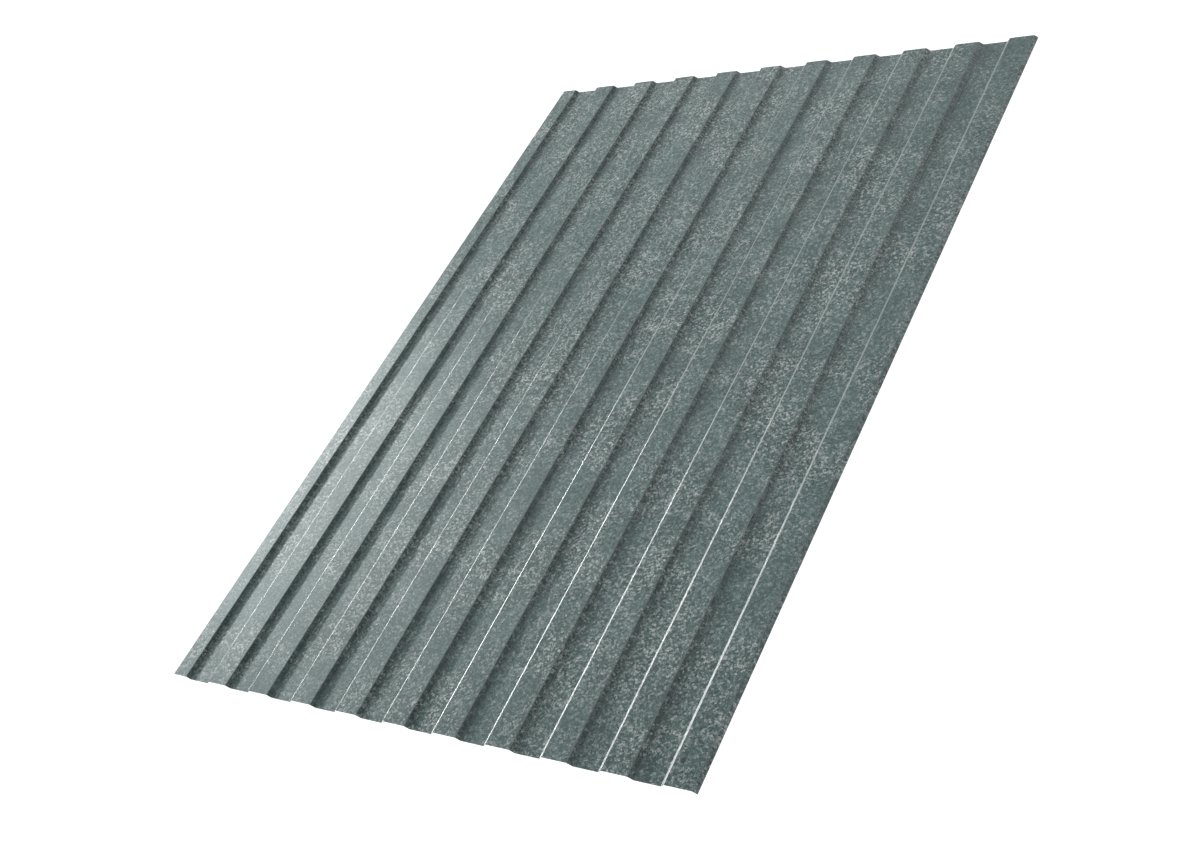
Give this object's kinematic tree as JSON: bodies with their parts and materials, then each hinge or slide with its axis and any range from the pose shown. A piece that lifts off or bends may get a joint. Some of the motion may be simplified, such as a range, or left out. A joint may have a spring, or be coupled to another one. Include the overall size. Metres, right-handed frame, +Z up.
{
  "type": "profiled metal sheet",
  "caption": "Galvanised steel sheet rolled into low flat-topped ribs with sloping webs, for cladding a roof, wall or fence.",
  "frame": {"origin": "middle of the sheet's box at the underside of its valleys", "axes": "+Y along the ribs, +X across them towards the edge that ends in a web, +Z up through the sheet, out of the crests"},
  "size_m": [1.1932, 1.68, 0.008],
  "materials": {
    "galvanised_steel": "hot-dip galvanised with a fine zinc spangle, satin"
  },
  "bodies": {
    "root": {"profiled_sheet": "galvanised_steel"}
  },
  "joints": []
}
